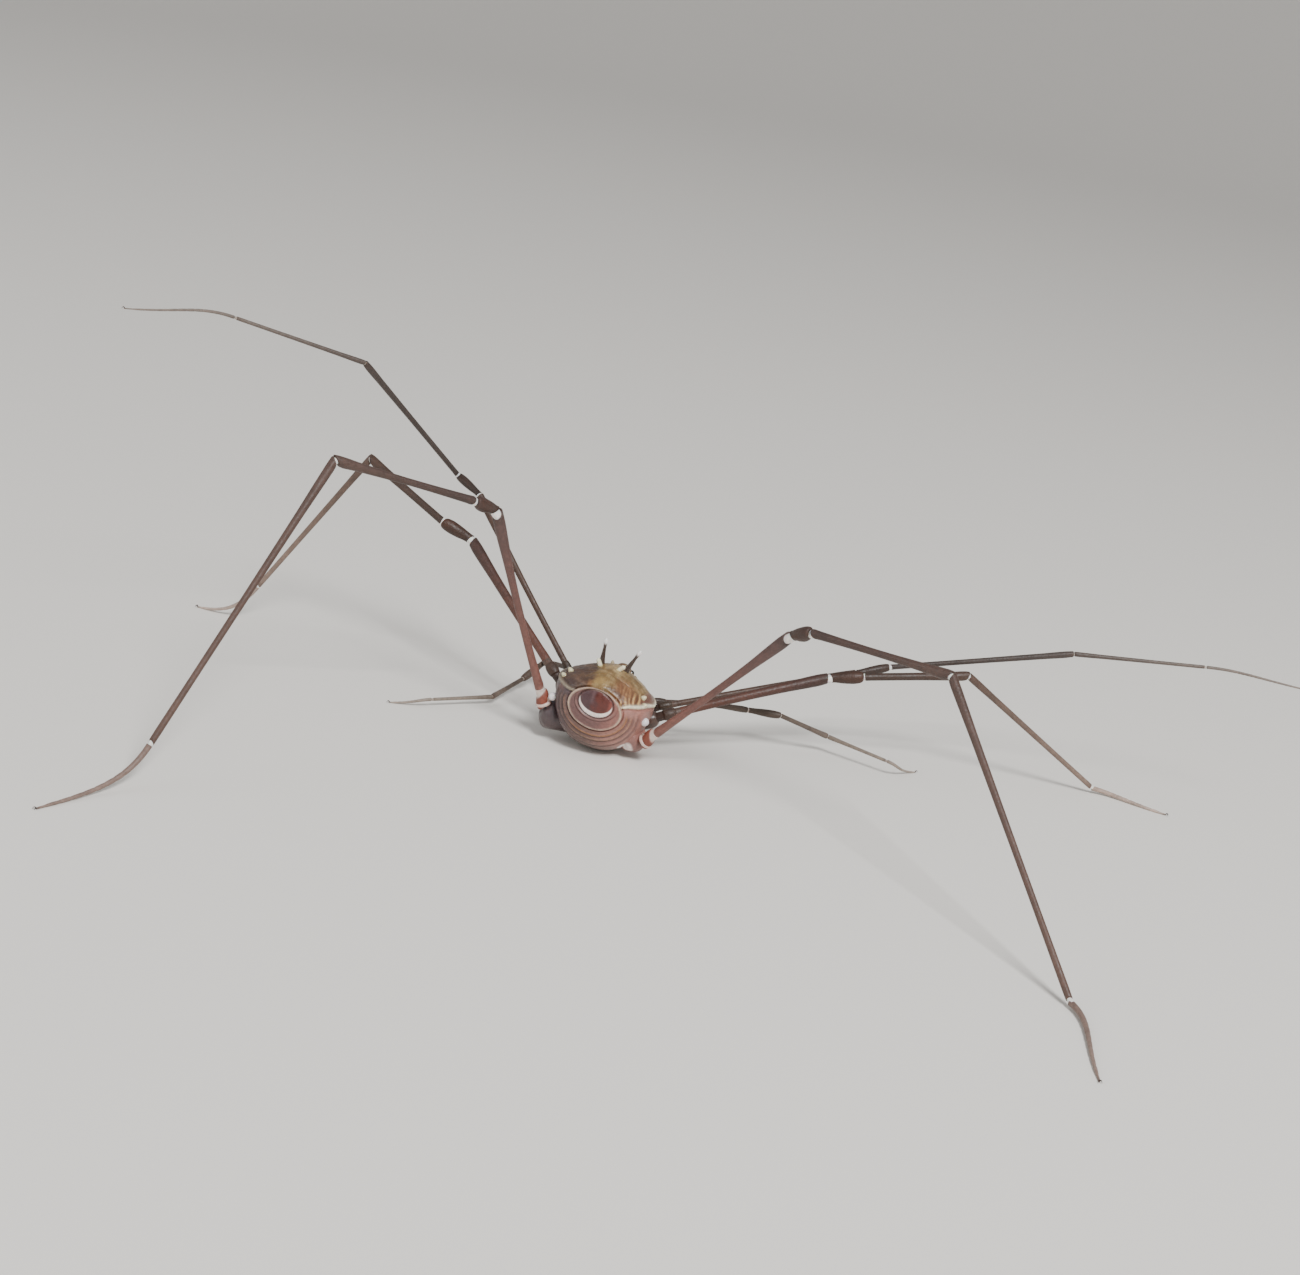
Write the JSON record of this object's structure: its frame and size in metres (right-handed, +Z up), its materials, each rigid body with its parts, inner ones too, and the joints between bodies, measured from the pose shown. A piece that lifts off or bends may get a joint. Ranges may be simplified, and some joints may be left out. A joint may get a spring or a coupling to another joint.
{
  "type": "harvestman",
  "caption": "Long-legged armoured harvestman standing on its feet with one pair of legs raised as feelers, a life-size still animal.",
  "frame": {"origin": "on the floor, under the middle of the bounding box", "axes": "+X to the animal's right, +Y the way it looks, +Z up"},
  "size_m": [0.0856, 0.0519, 0.0275],
  "materials": {
    "eye": "gloss",
    "back_shield": "satin",
    "rear_plates": "satin",
    "belly": "satin",
    "coxae": "satin",
    "mouthparts": "satin",
    "legs_first": "satin",
    "legs_second": "satin",
    "legs_third": "satin",
    "legs_fourth": "satin",
    "joint_skin": "satin",
    "spines": "satin"
  },
  "bodies": {
    "root": {"vent_lid": "rear_plates", "vent_ring": "rear_plates", "back_shield": "back_shield", "eye_mound": "back_shield", "eye_left": "eye", "eye_right": "eye", "coxa_left_4": "coxae", "coxa_left_3": "coxae", "coxa_left_2": "coxae", "coxa_left_1": "coxae", "coxa_right_4": "coxae", "coxa_right_3": "coxae", "coxa_right_2": "coxae", "coxa_right_1": "coxae", "belly": "belly", "chelicera_left": "mouthparts", "palp_left": "mouthparts", "chelicera_right": "mouthparts", "palp_right": "mouthparts", "femur_left_1": "legs_first", "patella_left_1": "legs_first", "tibia_left_1": "legs_first", "metatarsus_left_1": "legs_first", "tarsus_left_1": "legs_first", "femur_left_2": "legs_second", "patella_left_2": "legs_second", "tibia_left_2": "legs_second", "metatarsus_left_2": "legs_second", "tarsus_left_2": "legs_second", "femur_left_3": "legs_third", "patella_left_3": "legs_third", "tibia_left_3": "legs_third", "metatarsus_left_3": "legs_third", "tarsus_left_3": "legs_third", "femur_left_4": "legs_fourth", "patella_left_4": "legs_fourth", "tibia_left_4": "legs_fourth", "metatarsus_left_4": "legs_fourth", "tarsus_left_4": "legs_fourth", "femur_right_1": "legs_first", "patella_right_1": "legs_first", "tibia_right_1": "legs_first", "metatarsus_right_1": "legs_first", "tarsus_right_1": "legs_first", "femur_right_2": "legs_second", "patella_right_2": "legs_second", "tibia_right_2": "legs_second", "metatarsus_right_2": "legs_second", "tarsus_right_2": "legs_second", "femur_right_3": "legs_third", "patella_right_3": "legs_third", "tibia_right_3": "legs_third", "metatarsus_right_3": "legs_third", "tarsus_right_3": "legs_third", "femur_right_4": "legs_fourth", "patella_right_4": "legs_fourth", "tibia_right_4": "legs_fourth", "metatarsus_right_4": "legs_fourth", "tarsus_right_4": "legs_fourth"}
  },
  "joints": []
}
